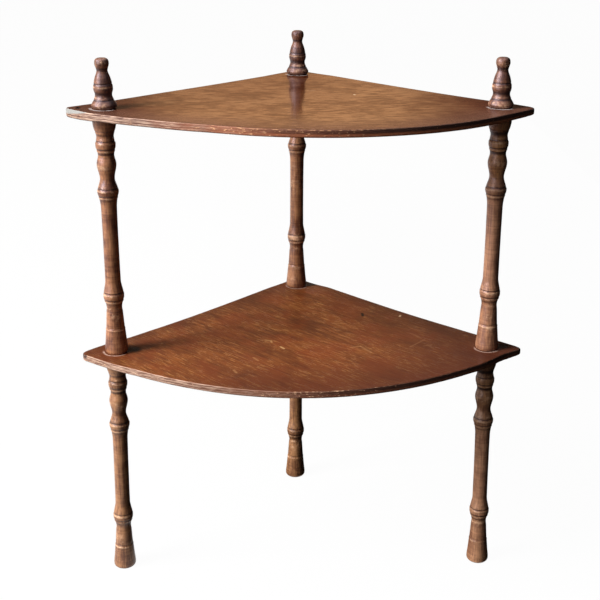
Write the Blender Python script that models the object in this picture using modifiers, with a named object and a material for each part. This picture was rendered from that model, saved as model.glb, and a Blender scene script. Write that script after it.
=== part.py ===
"""Two-tier corner shelving unit: two plywood shelves on three rows of turned posts.

Units are metres and +Z is up. The front faces -Y and the room's corner is towards +Y.
The origin lies on the floor, under the middle of the whole unit's box.
"""

import math

import bmesh
import bpy
import numpy as np
from mathutils import Vector

# Overall arrangement
POST_SPACING = 0.280        # back post's axis to each front post's axis, along a wall
SPINDLE_LENGTH = 0.254      # each turned spindle and leg, end face to end face
FINIAL_HEIGHT = 0.050
SEAT_GAP = 0.0003           # between an end face and the board that it is screwed to

# Plywood shelf
PLY_THICKNESS = 0.007
CORNER_MARGIN = 0.027       # shelf's back corner behind the back post's axis
TIP_REACH = 0.038           # shelf's tip sideways past the front post's axis
TIP_LEAD = 0.002            # shelf's tip in front of the front post's axis
FRONT_BOW = 0.099           # front edge's bow, ahead of the line from tip to tip
WALL_HOLLOW = 0.004         # each wall edge's hollow, behind its straight line
TIP_ROUND = 0.004
CORNER_ROUND = 0.003
RIM_ROUND = 0.0010          # worn round on the board's upper and lower rims
SCREW_HOLE_CLEARANCE = 0.0005

# Turned posts
END_DIAMETER = 0.0242       # the full width that the turnings keep at their ends
SHAFT_DIAMETER = 0.0161
SHAFT_WAIST = 0.0003        # how much slimmer the shaft is half way along, in diameter
FOOT_SECTION = 0.080        # flared foot, its neck and the swelling above it
HEAD_SECTION = 0.095        # beads between the shaft and the upper end
SCRIBE_WIDTH = 0.0020
SCRIBE_DEPTH = 0.0006
PROFILE_TOLERANCE = 0.00017  # how far a facet may lie from the true profile

# Steel dowel screws
SCREW_DIAMETER = 0.006
SCREW_BITE = 0.020          # how deep a screw goes into the wood at each end
SCREW_POINT = 0.004
PILOT_CLEARANCE = 0.0003
PILOT_OVERRUN = 0.0006      # pilot hole beyond the screw's point
CUT_OVERRUN = 0.002         # how far a drill guide passes through the board

# Facets
TURNED_SIDES = 16
SCREW_SIDES = 8
HOLE_SIDES = 16
FRONT_EDGE_STEPS = 32
WALL_EDGE_STEPS = 6
CORNER_STEPS = 4
RIM_STEPS = 2
PROFILE_SAMPLES = 12
MERGE_DISTANCE = 0.00001
RIM_ANGLE = math.radians(60)
CREASE_ANGLE = math.radians(35)

# Heights as shares of the section, radii as shares of the end radius
FOOT_SHARES = (
    (0.000, 0.945),
    (0.020, 0.990),
    (0.045, 1.000),
    (0.165, 0.942),
    (0.285, 0.868),
    (0.400, 0.788),
    (0.560, 0.732),
    (0.630, 0.664),
    (0.772, 0.882),
    (0.890, 0.770),
)
HEAD_SHARES = (
    (0.070, 0.705),
    (0.118, 0.762),
    (0.175, 0.893),
    (0.325, 0.612),
    (0.480, 0.818),
    (0.580, 0.672),
    (0.685, 0.836),
    (0.780, 0.724),
    (0.862, 0.880),
    (0.915, 0.968),
    (1.000, 1.000),
)
FINIAL_SHARES = (
    (0.000, 0.985),
    (0.050, 1.000),
    (0.130, 0.940),
    (0.270, 0.695),
    (0.390, 0.802),
    (0.480, 0.752),
    (0.600, 0.640),
    (0.750, 0.448),
    (0.800, 0.494),
    (0.870, 0.580),
    (0.930, 0.520),
    (0.975, 0.340),
    (1.000, 0.000),
)

# Scribed rings, as shares of the same sections
FOOT_SCRIBE_SHARES = (0.362, 0.735, 0.844)
HEAD_SCRIBE_SHARES = (0.130, 0.221, 0.650, 0.728, 0.838)
FINIAL_SCRIBE_SHARES = (0.180, 0.482)

# Stained wood and steel, as linear colour, roughness and metallic value
TURNED_WOOD = ("turned_wood", (0.150, 0.062, 0.028), 0.38, 0.0)
TOP_BOARD_WOOD = ("top_board_wood", (0.290, 0.130, 0.055), 0.34, 0.0)
LOWER_BOARD_WOOD = ("lower_board_wood", (0.200, 0.075, 0.033), 0.36, 0.0)
SCREW_STEEL = ("screw_steel", (0.420, 0.410, 0.400), 0.35, 1.0)

# Places that follow from the sizes
HALF_SPREAD = POST_SPACING / math.sqrt(2)
END_RADIUS = END_DIAMETER / 2
BOARD_STEP = PLY_THICKNESS + 2 * SEAT_GAP
LOWER_BOARD_Z = SPINDLE_LENGTH + SEAT_GAP
UPPER_SPINDLE_Z = SPINDLE_LENGTH + BOARD_STEP
UPPER_BOARD_Z = UPPER_SPINDLE_Z + LOWER_BOARD_Z
FINIAL_Z = 2 * UPPER_SPINDLE_Z


def clear_scene():
    """Removes every object that the file opened with."""
    for old in list(bpy.data.objects):
        bpy.data.objects.remove(old)


def new_collection(name):
    made = bpy.data.collections.new(name)
    bpy.context.scene.collection.children.link(made)
    return made


def finish(finish_values):
    """A plain Principled material with a colour, a roughness and a metallic value."""
    name, colour, roughness, metallic = finish_values
    material = bpy.data.materials.new(name)
    material.use_nodes = True
    shader = material.node_tree.nodes["Principled BSDF"]
    shader.inputs["Base Color"].default_value = (*colour, 1.0)
    shader.inputs["Roughness"].default_value = roughness
    shader.inputs["Metallic"].default_value = metallic
    material.diffuse_color = (*colour, 1.0)
    return material


def new_object(name, mesh, collection):
    made = bpy.data.objects.new(name, mesh)
    collection.objects.link(made)
    return made


def smooth(mesh):
    mesh.shade_smooth()
    mesh.set_sharp_from_angle(angle=CREASE_ANGLE)


def monotone_slopes(heights, radii):
    """Slopes for a cubic through the points that is level at each widest and narrowest one."""
    steps = np.diff(heights)
    rises = np.diff(radii) / steps
    slopes = np.zeros(len(radii))
    for i in range(1, len(radii) - 1):
        before, after = rises[i - 1], rises[i]
        if before * after > 0:
            first = 2 * steps[i] + steps[i - 1]
            second = steps[i] + 2 * steps[i - 1]
            slopes[i] = (first + second) / (first / before + second / after)
    slopes[0], slopes[-1] = rises[0], rises[-1]
    return slopes


def curve_through(controls):
    """Many points (radius, height) along a smooth curve through a few chosen ones."""
    heights = np.array([height for height, _ in controls])
    radii = np.array([radius for _, radius in controls])
    slopes = monotone_slopes(heights, radii)
    points = [(radii[0], heights[0])]
    for i in range(len(heights) - 1):
        step = heights[i + 1] - heights[i]
        for t in np.arange(1, PROFILE_SAMPLES + 1) / PROFILE_SAMPLES:
            rise = radii[i + 1] - radii[i]
            ease = t * t * (3 - 2 * t)
            lean = slopes[i] * t * (1 - t) ** 2 - slopes[i + 1] * t * t * (1 - t)
            points.append((radii[i] + rise * ease + step * lean, heights[i] + step * t))
    return points


def thinned(points):
    """Keeps the points without which the facets would leave the curve."""
    first, last = np.array(points[0]), np.array(points[-1])
    chord = last - first
    across = np.array([-chord[1], chord[0]]) / np.linalg.norm(chord)
    offsets = [abs(float((np.array(p) - first) @ across)) for p in points[1:-1]]
    if not offsets or max(offsets) < PROFILE_TOLERANCE:
        return [points[0], points[-1]]
    split = offsets.index(max(offsets)) + 1
    return thinned(points[: split + 1])[:-1] + thinned(points[split:])


def radius_at(points, height):
    return float(np.interp(height, [p[1] for p in points], [p[0] for p in points]))


def scribed(points, rings):
    """Cuts a narrow V into the profile at each ring's height."""
    half = SCRIBE_WIDTH / 2
    kept = [p for p in points if all(abs(p[1] - ring) > half for ring in rings)]
    for ring in rings:
        for offset, depth in ((-half, 0.0), (0.0, SCRIBE_DEPTH), (half, 0.0)):
            kept.append((radius_at(points, ring + offset) - depth, ring + offset))
    return sorted(kept, key=lambda p: p[1])


def placed(shares, base, section):
    """A table of shares as real heights and radii, on a section that starts at base."""
    return [(base + section * height, END_RADIUS * radius) for height, radius in shares]


def shaft_controls():
    """The slim shaft between the foot section and the head section."""
    bottom = FOOT_SECTION
    top = SPINDLE_LENGTH - HEAD_SECTION
    ends = SHAFT_DIAMETER / 2
    waist = ends - SHAFT_WAIST / 2
    return [(bottom, ends), ((bottom + top) / 2, waist), (top, ends)]


def spindle_outline():
    """The turned side of a spindle, from its lower end to its upper end."""
    head_base = SPINDLE_LENGTH - HEAD_SECTION
    controls = placed(FOOT_SHARES, 0.0, FOOT_SECTION)
    controls += shaft_controls()
    controls += placed(HEAD_SHARES, head_base, HEAD_SECTION)
    rings = [FOOT_SECTION * share for share in FOOT_SCRIBE_SHARES]
    rings += [head_base + HEAD_SECTION * share for share in HEAD_SCRIBE_SHARES]
    return scribed(thinned(curve_through(controls)), rings)


def finial_outline():
    controls = placed(FINIAL_SHARES, 0.0, FINIAL_HEIGHT)
    rings = [FINIAL_HEIGHT * share for share in FINIAL_SCRIBE_SHARES]
    return scribed(thinned(curve_through(controls)), rings)


def pilot(end, inwards):
    """The pilot hole at an end face, from the hole's rim to its bottom on the axis."""
    radius = SCREW_DIAMETER / 2 + PILOT_CLEARANCE
    bottom = end + inwards * (SCREW_BITE + PILOT_OVERRUN)
    return [(radius, end), (radius, bottom), (0.0, bottom)]


def turned(name, outline, sides, collection):
    """Turns an outline, given from its upper end to its lower end, round the Z axis."""
    mesh = bpy.data.meshes.new(name)
    points = [(radius, 0.0, height) for radius, height in outline]
    mesh.from_pydata(points, [(i, i + 1) for i in range(len(points) - 1)], [])
    made = new_object(name, mesh, collection)
    screw = made.modifiers.new("turning", "SCREW")
    screw.axis = "Z"
    screw.steps = sides
    screw.render_steps = sides
    screw.use_merge_vertices = True
    screw.merge_threshold = MERGE_DISTANCE
    evaluated = made.evaluated_get(bpy.context.evaluated_depsgraph_get())
    solid = bpy.data.meshes.new_from_object(evaluated)
    bpy.data.objects.remove(made)
    solid.name = name
    smooth(solid)
    return solid


def spindle_mesh(name, lower_pilot, collection):
    """A turned spindle. Only one that stands on a board is drilled at its lower end."""
    side = spindle_outline()[::-1]
    top = pilot(SPINDLE_LENGTH, -1)[::-1]
    bottom = pilot(0.0, 1) if lower_pilot else [(0.0, 0.0)]
    return turned(name, top + side + bottom, TURNED_SIDES, collection)


def finial_mesh(name, collection):
    side = finial_outline()[::-1]
    return turned(name, side + pilot(0.0, 1), TURNED_SIDES, collection)


def screw_mesh(name, collection):
    """A dowel screw: pointed at both ends, centred on the board that it passes through."""
    radius = SCREW_DIAMETER / 2
    reach = BOARD_STEP / 2 + SCREW_BITE
    neck = reach - SCREW_POINT
    outline = [(0.0, reach), (radius, neck), (radius, -neck), (0.0, -reach)]
    return turned(name, outline, SCREW_SIDES, collection)


def arc_between(start, end, bulge, steps):
    """Points of an arc from start to end that stands off its chord by bulge, to the right."""
    chord = end - start
    radius = (chord.length**2 / 4 + bulge**2) / (2 * abs(bulge))
    side = Vector((chord.y, -chord.x)).normalized() * math.copysign(1, bulge)
    centre = (start + end) / 2 - side * (radius - abs(bulge))
    half_angle = math.asin(chord.length / (2 * radius))
    along = chord.normalized()
    angles = [half_angle * (2 * i / steps - 1) for i in range(steps)]
    return [centre + radius * (along * math.sin(a) + side * math.cos(a)) for a in angles]


def post_places():
    """Plan positions of the three rows of posts, with the front posts on the X axis."""
    return {
        "left": Vector((-HALF_SPREAD, 0.0)),
        "right": Vector((HALF_SPREAD, 0.0)),
        "back": Vector((0.0, HALF_SPREAD)),
    }


def shelf_corners():
    """Left tip, right tip and back corner of a shelf before they are rounded."""
    tip = HALF_SPREAD + TIP_REACH
    left = Vector((-tip, -TIP_LEAD))
    right = Vector((tip, -TIP_LEAD))
    back = Vector((0.0, HALF_SPREAD + CORNER_MARGIN))
    return left, right, back


def shelf_outline():
    """Round the shelf anticlockwise: the bowed front, then the two wall edges."""
    left, right, back = shelf_corners()
    front = arc_between(left, right, FRONT_BOW, FRONT_EDGE_STEPS)
    right_wall = arc_between(right, back, -WALL_HOLLOW, WALL_EDGE_STEPS)
    left_wall = arc_between(back, left, -WALL_HOLLOW, WALL_EDGE_STEPS)
    return front + right_wall + left_wall


def flat_plate(outline, name, collection):
    """A closed flat outline, filled and given the board's thickness."""
    curve = bpy.data.curves.new(name, "CURVE")
    curve.dimensions = "2D"
    curve.fill_mode = "BOTH"
    curve.extrude = PLY_THICKNESS / 2
    spline = curve.splines.new("POLY")
    spline.points.add(len(outline) - 1)
    spline.use_cyclic_u = True
    for point, place in zip(spline.points, outline):
        point.co = (place.x, place.y, 0.0, 1.0)
    drawn = new_object(name, curve, collection)
    evaluated = drawn.evaluated_get(bpy.context.evaluated_depsgraph_get())
    mesh = bpy.data.meshes.new_from_object(evaluated)
    bpy.data.objects.remove(drawn)
    return mesh


def round_corner(solid, corner, radius):
    """Rounds the upright edge of the board that stands at a corner of its outline."""
    upright = [
        edge
        for edge in solid.edges
        if all((vertex.co.xy - corner).length < radius / 2 for vertex in edge.verts)
    ]
    tangent = radius * math.tan(upright[0].calc_face_angle() / 2)
    bmesh.ops.bevel(solid, geom=upright, offset=tangent, segments=CORNER_STEPS,
                    profile=0.5, affect="EDGES")


def round_rims(solid):
    """Rounds the upper and lower rims of the board, by no more than a third of its thickness."""
    rims = [edge for edge in solid.edges if edge.calc_face_angle() > RIM_ANGLE]
    bmesh.ops.bevel(solid, geom=rims, offset=min(RIM_ROUND, PLY_THICKNESS / 3),
                    segments=RIM_STEPS, profile=0.5, affect="EDGES")


def board_mesh(name, collection):
    """A shelf board, cut to its outline, with rounded corners and worn rims."""
    mesh = flat_plate(shelf_outline(), name, collection)
    solid = bmesh.new()
    solid.from_mesh(mesh)
    bmesh.ops.remove_doubles(solid, verts=solid.verts, dist=MERGE_DISTANCE)
    for side in (-1, 1):
        cap = [face for face in solid.faces if face.normal.z * side > 0.5]
        bmesh.ops.dissolve_faces(solid, faces=cap)
    left, right, back = shelf_corners()
    round_corner(solid, left, TIP_ROUND)
    round_corner(solid, right, TIP_ROUND)
    round_corner(solid, back, CORNER_ROUND)
    round_rims(solid)
    solid.to_mesh(mesh)
    solid.free()
    mesh.name = name
    smooth(mesh)
    return mesh


def drill_guide(name, place, collection):
    """A cylinder that cuts one screw hole through a board."""
    bpy.ops.mesh.primitive_cylinder_add(
        vertices=HOLE_SIDES,
        radius=SCREW_DIAMETER / 2 + SCREW_HOLE_CLEARANCE,
        depth=PLY_THICKNESS + 2 * CUT_OVERRUN,
    )
    guide = bpy.context.active_object
    guide.name = name
    for other in list(guide.users_collection):
        other.objects.unlink(guide)
    collection.objects.link(guide)
    guide.location = place
    guide.hide_render = True
    guide.display_type = "WIRE"
    return guide


def drill(board, guide):
    cut = board.modifiers.new(guide.name, "BOOLEAN")
    cut.operation = "DIFFERENCE"
    cut.solver = "EXACT"
    cut.object = guide


def place(name, mesh, material, location, collection, unit):
    """One piece of the unit, at its place in the frame of the posts."""
    piece = new_object(name, mesh, collection)
    piece.data.materials.clear()
    piece.data.materials.append(material)
    piece.location = location
    piece.parent = unit
    return piece


def add_board(name, mesh, material, height, parts, guides, unit):
    """A shelf at a height, drilled for the three rows of posts."""
    middle = height + PLY_THICKNESS / 2
    board = place(name, mesh, material, (0.0, 0.0, middle), parts, unit)
    for side, post in post_places().items():
        guide = drill_guide(f"{name}_drill_{side}", (post.x, post.y, middle), guides)
        guide.parent = unit
        drill(board, guide)


def add_posts(kind, mesh, material, height, parts, unit):
    """Three like pieces, one in each row of posts."""
    for side, post in post_places().items():
        place(f"{kind}_{side}", mesh, material, (post.x, post.y, height), parts, unit)


def unit_frame(board, collection):
    """An empty that puts the middle of the boards' depth over the origin."""
    depths = [vertex.co.y for vertex in board.vertices]
    frame = bpy.data.objects.new("corner_shelving_unit_frame", None)
    collection.objects.link(frame)
    frame.location.y = -(min(depths) + max(depths)) / 2
    return frame


def build():
    clear_scene()
    parts = new_collection("corner_shelving_unit")
    guides = new_collection("drill_guides")
    turned_wood = finish(TURNED_WOOD)
    steel = finish(SCREW_STEEL)

    lower_board = board_mesh("lower_board", parts)
    top_board = lower_board.copy()
    unit = unit_frame(lower_board, guides)

    leg = spindle_mesh("leg_turning", False, parts)
    add_posts("lower_leg", leg, turned_wood, 0.0, parts, unit)
    add_board("bottom_shelf", lower_board, finish(LOWER_BOARD_WOOD), LOWER_BOARD_Z,
              parts, guides, unit)
    spindle = spindle_mesh("spindle_turning", True, parts)
    add_posts("upper_spindle", spindle, turned_wood, UPPER_SPINDLE_Z, parts, unit)
    add_board("top_shelf", top_board, finish(TOP_BOARD_WOOD), UPPER_BOARD_Z,
              parts, guides, unit)
    finial = finial_mesh("finial_turning", parts)
    add_posts("finial", finial, turned_wood, FINIAL_Z, parts, unit)

    screw = screw_mesh("dowel_screw_turning", parts)
    lower_middle = SPINDLE_LENGTH + BOARD_STEP / 2
    upper_middle = FINIAL_Z - BOARD_STEP / 2
    add_posts("lower_dowel_screw", screw, steel, lower_middle, parts, unit)
    add_posts("upper_dowel_screw", screw, steel, upper_middle, parts, unit)
    bpy.context.view_layer.update()


build()
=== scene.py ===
import math

import bpy
import numpy as np
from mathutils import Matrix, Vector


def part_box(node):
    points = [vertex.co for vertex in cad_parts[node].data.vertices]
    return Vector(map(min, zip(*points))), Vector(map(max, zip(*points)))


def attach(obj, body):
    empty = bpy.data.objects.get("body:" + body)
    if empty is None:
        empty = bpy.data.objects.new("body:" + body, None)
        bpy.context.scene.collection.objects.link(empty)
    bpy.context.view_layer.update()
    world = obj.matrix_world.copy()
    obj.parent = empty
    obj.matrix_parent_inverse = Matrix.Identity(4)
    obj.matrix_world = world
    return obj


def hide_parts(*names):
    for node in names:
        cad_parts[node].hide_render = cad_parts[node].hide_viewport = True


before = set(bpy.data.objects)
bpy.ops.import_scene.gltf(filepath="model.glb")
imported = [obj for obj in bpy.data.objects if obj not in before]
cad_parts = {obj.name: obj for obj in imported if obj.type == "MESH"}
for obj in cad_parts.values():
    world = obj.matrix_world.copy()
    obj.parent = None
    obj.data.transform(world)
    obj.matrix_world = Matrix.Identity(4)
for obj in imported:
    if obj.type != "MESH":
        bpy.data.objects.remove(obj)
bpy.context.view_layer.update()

# The lower legs: three turnings of dark stained hardwood, each turned between centres in one
# piece from square stock, varnished, and screwed up against the underside of the bottom shelf.
# Their feet are plain and stand on the floor.
LEG_LENGTH = 0.254
SEAT_GAP = 0.0003
PILOT_RADIUS = 0.0033
PILOT_DEPTH = 0.0206
AROUND = 72
SHARP_ANGLE = math.radians(50)

# Heights above the lower end and radii, in millimetres
FOOT_PROFILE = (
    (0.0, 10.9), (0.6, 11.5), (1.8, 12.0), (3.6, 12.1), (13.2, 11.2), (22.8, 10.35), (32.0, 9.4),
    (44.8, 8.6), (50.2, 8.05), (55.0, 8.70), (58.5, 9.95), (62.5, 10.75), (66.5, 10.45),
    (71.2, 9.45),
)
SHAFT_PROFILE = ((80.0, 8.05), (119.5, 7.9), (159.0, 8.1))
HEAD_PROFILE = (
    (165.65, 8.70), (170.2, 9.60), (172.8, 10.35), (175.6, 10.85), (189.9, 7.45), (204.6, 9.90),
    (214.1, 8.15), (224.1, 10.12), (233.1, 8.70), (240.9, 10.70), (245.9, 11.71), (252.6, 12.1),
    (254.0, 11.8),
)
# Scribed lines and raised lips: height, half width and depth or height, in millimetres
LEG_SCRIBES = tuple((height, 1.0, 0.26)
                    for height in (28.6, 59.6, 67.2, 171.8, 179.4, 220.3, 228.4, 238.6))
LEG_LIPS = tuple((height, 1.0, 0.22)
                 for height in (26.2, 57.6, 65.2, 169.7, 177.2, 218.1, 226.2))
# Rubbed lines (above zero) and dirty ones (below): height, half width and strength. Many are
# partly painted light: pale lines paint highlights on lips and shoulders that face the light,
# dark ones paint shade under the beads and in the necks.
LEG_LINES = (
    (26.2, 1.5, 0.6), (29.0, 1.3, -0.3), (47.2, 1.5, -0.4), (50.2, 2.1, 0.5), (54.8, 2.0, -0.6),
    (57.5, 1.4, 0.7), (59.9, 1.2, -0.75), (65.1, 1.6, 0.65), (67.5, 1.2, -0.7),
    (167.3, 1.8, -0.55), (169.8, 1.4, 0.65), (172.1, 1.2, -0.7), (177.1, 1.6, 0.6),
    (179.7, 1.3, -0.75), (182.5, 1.8, 0.35), (212.5, 1.7, 0.25), (215.6, 1.8, -0.75),
    (218.2, 1.4, 0.65), (220.6, 1.2, -0.75), (226.1, 1.5, 0.50), (228.7, 1.2, -0.75),
    (231.2, 1.9, 0.38), (235.2, 2.1, -0.6), (238.9, 1.2, -0.45),
)
# How the paler wood shows along a turning: shares of its length and of its paleness. The extra
# paleness along the shaft is painted light, lifting it out of the shelves' shade.
PALE_RISE = ((0.0, 0.18, 0.34, 0.62, 0.76), (0.75, 0.80, 1.30, 1.25, 0.50))

# Steps between rings, plain and at a line, in millimetres
PLAIN_STEP = 0.9
LINE_STEP = 0.2
# Shares by which a ring is oval and rippled, and the radius up to which it stays round
OVAL = 0.003
RIPPLE = 0.0016
ROUND_WITHIN = 0.004
# Hands and cloths bridge this length of a side, and wear what stands this far proud of it
WEAR_SPAN = 0.020
WEAR_RELIEF = 0.0012


def cubic_through(controls, heights):
    """Radii at the heights on a cubic that passes through the controls and is level at each
    widest and narrowest one: the slope at a control is the weighted harmonic mean of the rises
    on its two sides where they have one sign, and zero where they differ."""
    at, radius = np.array(controls, float).T
    step = np.diff(at)
    rise = np.diff(radius) / step
    slope = np.concatenate([rise[:1], np.zeros(len(at) - 2), rise[-1:]])
    same = rise[:-1] * rise[1:] > 0
    before, after = np.where(same, rise[:-1], 1.0), np.where(same, rise[1:], 1.0)
    first, second = 2 * step[1:] + step[:-1], step[1:] + 2 * step[:-1]
    slope[1:-1] = np.where(same, (first + second) / (first / before + second / after), 0.0)
    i = np.clip(np.searchsorted(at, heights) - 1, 0, len(step) - 1)
    t = np.clip((heights - at[i]) / step[i], 0.0, 1.0)
    ease = t * t * (3 - 2 * t)
    lean = slope[i] * t * (1 - t) ** 2 - slope[i + 1] * t * t * (1 - t)
    return radius[i] + (radius[i + 1] - radius[i]) * ease + step[i] * lean


def turned_side(controls, scribes, lips, length):
    """Heights and radii of a turned side in metres: the cubic through the controls, less a
    rounded V at each scribed line, plus a rounded ridge at each lip."""
    close = [np.arange(at - 2 * half, at + 2 * half, LINE_STEP)
             for at, half, _ in scribes + lips]
    heights = np.unique(np.concatenate(
        [np.arange(0.0, length, PLAIN_STEP), *close, [length]]).round(3))
    heights = heights[(heights >= 0) & (heights <= length)]
    radii = cubic_through(controls, heights)
    for at, half, depth in scribes:
        radii -= depth * np.exp(-np.abs((heights - at) / (0.62 * half)) ** 1.5)
    for at, half, proud in lips:
        radii += proud * np.exp(-((heights - at) / (0.7 * half)) ** 2)
    return heights / 1000, radii / 1000


def keep(mesh, key, values):
    """Stores a value for each point of a mesh, under a name that the finishes read."""
    layer = mesh.attributes.new(key, "FLOAT", "POINT")
    layer.data.foreach_set("value", values.astype(np.float32))


def add_object(name, data):
    made = bpy.data.objects.new(name, data)
    bpy.context.scene.collection.objects.link(made)
    return made


def closed_surface(name, grid, attributes):
    """A closed surface from a grid of points, rows by columns: each row is a ring, rings next
    to each other are joined by four-sided faces, and the first and last rings are each one
    point, joined to the ring beside it by triangles. Seen from outside, rows run down while
    columns run to the right. The attributes are grids of the same size."""
    rows, columns = grid.shape[:2]
    points = np.vstack([grid[:1, 0], grid[1:-1].reshape(-1, 3), grid[-1:, 0]])
    here = np.arange(columns)
    beside = (here + 1) % columns
    upper = 1 + np.arange(rows - 3)[:, None] * columns
    quads = np.stack([upper + here, upper + columns + here,
                      upper + columns + beside, upper + beside], axis=-1).reshape(-1, 4)
    last = 1 + (rows - 3) * columns
    start = np.stack([np.zeros_like(here), 1 + here, 1 + beside], axis=-1)
    end = np.stack([last + beside, last + here, np.full_like(here, len(points) - 1)], axis=-1)
    mesh = bpy.data.meshes.new(name)
    mesh.from_pydata(points, [], start.tolist() + quads.tolist() + end.tolist())
    for key, values in attributes.items():
        keep(mesh, key, np.concatenate([values[:1, 0], values[1:-1].ravel(), values[-1:, 0]]))
    mesh.shade_smooth()
    mesh.set_sharp_from_angle(angle=SHARP_ANGLE)
    return add_object(name, mesh)


def turning(name, side, lines, place, bottom, pilots, lean, seed, pale=0.0):
    """One turned piece at its place. Its path runs from the axis out over the upper end, down
    the side and back to the axis over the lower end, with a pilot hole where pilots say so.
    Each ring is a circle of the side's radius, very slightly oval, with slow ripples. The lean
    moves the lower and the upper end sideways. The lines, and the side's own bulges and hollows,
    are kept as how rubbed and how dirty each point is; the lines also carry painted highlights
    and painted shade. Pale is how light a piece of wood it was cut from, and on the right posts
    and along the shafts it also paints light that lifts them out of shade."""
    heights, radii = side
    length = heights[-1]
    chance = np.random.default_rng(seed)
    pilot = [(PILOT_RADIUS, 0.0), (PILOT_RADIUS, PILOT_DEPTH), (0.0, PILOT_DEPTH)]
    low = pilot if pilots[0] else [(0.5 * radii[0], 0.0), (0.0, 0.0)]
    high = [(r, length - h) for r, h in pilot[::-1]] if pilots[1] else []
    path = np.array(high + list(zip(radii[::-1], heights[::-1])) + low)
    if not pilots[1]:
        path[0] = (0.0, length)
    turn, z = np.meshgrid(np.arange(AROUND) * 2 * np.pi / AROUND, path[:, 1])
    outside = (path[:, :1] > ROUND_WITHIN) * 1.0
    wobble = OVAL * np.cos(2 * turn + chance.uniform(0, 6)) + sum(
        RIPPLE * np.cos(n * turn + chance.uniform(0, 6) + z * chance.uniform(90, 260))
        for n in (3, 5, 8))
    radius = path[:, :1] * (1 + outside * wobble)
    shift = lean[0] + (lean[1] - lean[0]) * z / length
    grid = np.stack([place[0] + shift + radius * np.cos(turn),
                     place[1] + radius * np.sin(turn), bottom + z], axis=-1)
    samples = 1200
    even = np.linspace(0, length, samples)
    evenly = np.interp(even, heights, radii)
    kernel = np.hanning(int(WEAR_SPAN / length * samples))
    padded = np.pad(evenly, len(kernel), mode="edge")
    average = np.convolve(padded, kernel / kernel.sum(), mode="same")[len(kernel):-len(kernel)]
    proud = np.interp(path[:, 1], even, evenly - average) / WEAR_RELIEF
    rub_and_highlight, dirt_and_shade = 0.3 * np.clip(proud, 0, 1), 0.4 * np.clip(-proud, 0, 1)
    for at, half, strength in lines:
        line = abs(strength) * np.exp(-((path[:, 1] * 1000 - at) / (0.8 * half)) ** 2)
        if strength > 0:
            rub_and_highlight, dirt_and_shade = np.maximum(rub_and_highlight, line), dirt_and_shade * (1 - line)
        else:
            rub_and_highlight, dirt_and_shade = rub_and_highlight * (1 - line), np.maximum(dirt_and_shade, line)
    rub_and_highlight, dirt_and_shade = (np.repeat(values[:, None], AROUND, axis=1) for values in (rub_and_highlight, dirt_and_shade))
    return closed_surface(name, grid, {
        "rub_and_highlight": rub_and_highlight, "dirt_and_shade": dirt_and_shade, "pale": pale * np.interp(z / length, *PALE_RISE)})


def srgb(red, green, blue):
    """A colour as it looks on a screen, from 0 to 255, turned into linear light."""
    share = np.array([red, green, blue]) / 255
    linear = np.where(share <= 0.04045, share / 12.92, ((share + 0.055) / 1.055) ** 2.4)
    return (*linear.tolist(), 1.0)


def feed(node, sockets):
    """Gives each of a node's sockets either a value or what feeds it."""
    for key, value in sockets.items():
        if isinstance(value, bpy.types.NodeSocket):
            node.id_data.links.new(value, node.inputs[key])
        else:
            node.inputs[key].default_value = value


def put(kind, sockets, tree=None, **settings):
    """The outputs of a new shader node, in the tree of what feeds it if no tree is given."""
    fed = (value.id_data for value in sockets.values() if isinstance(value, bpy.types.NodeSocket))
    made = (tree or next(fed)).nodes.new("ShaderNode" + kind)
    for key, value in settings.items():
        setattr(made, key, value)
    feed(made, sockets)
    return made.outputs


def calc(operation, first, second=0.0, third=0.0):
    return put("Math", {0: first, 1: second, 2: third}, operation=operation)[0]


def plus(first, second):
    return calc("ADD", first, second)


def times(first, second):
    return calc("MULTIPLY", first, second)


def weighted(start, *parts):
    """The start plus each part times its weight."""
    for part, weight in parts:
        start = calc("MULTIPLY_ADD", part, weight, start)
    return start


def fade(value, low, high, start=0.0, end=1.0):
    """A smooth change from start to end while the value goes from low to high."""
    return put("MapRange", {0: value, 1: low, 2: high, 3: start, 4: end},
               interpolation_type="SMOOTHSTEP")[0]


def mixed(share, first, second):
    return put("Mix", {0: share, 6: first, 7: second}, data_type="RGBA")[2]


def layered(colour, *layers):
    """Lays tints over a colour in turn: each layer is its share and its tint as that looks on a
    screen, and may have a strength that lowers the share."""
    for share, tint, *strength in layers:
        share = times(share, strength[0]) if strength else share
        colour = mixed(share, colour, srgb(*tint))
    return colour


def clouds(vector, scale, detail=3.0, rough=0.55, swirl=0.0):
    return put("TexNoise", {"Vector": vector, "Scale": scale, "Detail": detail,
                            "Roughness": rough, "Distortion": swirl})[0]


def stretched(vector, direction, size):
    """Turns a pattern's own X axis to a direction about Z, in degrees, and gives the length of
    one unit along each of its own axes, in millimetres."""
    return put("Mapping", {
        "Vector": vector, "Rotation": (0, 0, math.radians(direction)),
        "Scale": tuple(length / 1000 for length in size)}, vector_type="TEXTURE")[0]


def relief(height, strength, distance):
    return put("Bump", {"Height": height, "Strength": strength, "Distance": distance})[0]


def attribute(material, name):
    return put("Attribute", {}, material.node_tree, attribute_name=name)["Fac"]


def group(name, given, made):
    """An empty node group with named inputs (kind and value) and named outputs (kind)."""
    tree = bpy.data.node_groups.new(name, "ShaderNodeTree")
    for key, (kind, value) in given.items():
        socket = tree.interface.new_socket(key, in_out="INPUT", socket_type="NodeSocket" + kind)
        if value is not None:
            socket.default_value = value
    for key, kind in made.items():
        tree.interface.new_socket(key, in_out="OUTPUT", socket_type="NodeSocket" + kind)
    return tree, tree.nodes.new("NodeGroupInput").outputs, tree.nodes.new("NodeGroupOutput")


def use(node_group, sockets):
    """Places a node group in a tree with its own values."""
    return put("Group", sockets, node_tree=node_group)


# Long grain: the vector comes already stretched along the wood, one unit to a streak's width.
GRAIN, given, end = group("long_grain", {"Vector": ("Vector", None)},
                          {"Streaks": "Float", "Pores": "Float"})
feed(end, {
    "Streaks": clouds(given["Vector"], 1.0, 5.0, 0.62, 0.25),
    "Pores": fade(clouds(given["Vector"], 2.3, 2.0, 0.4), 0.60, 0.70)})
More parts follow.
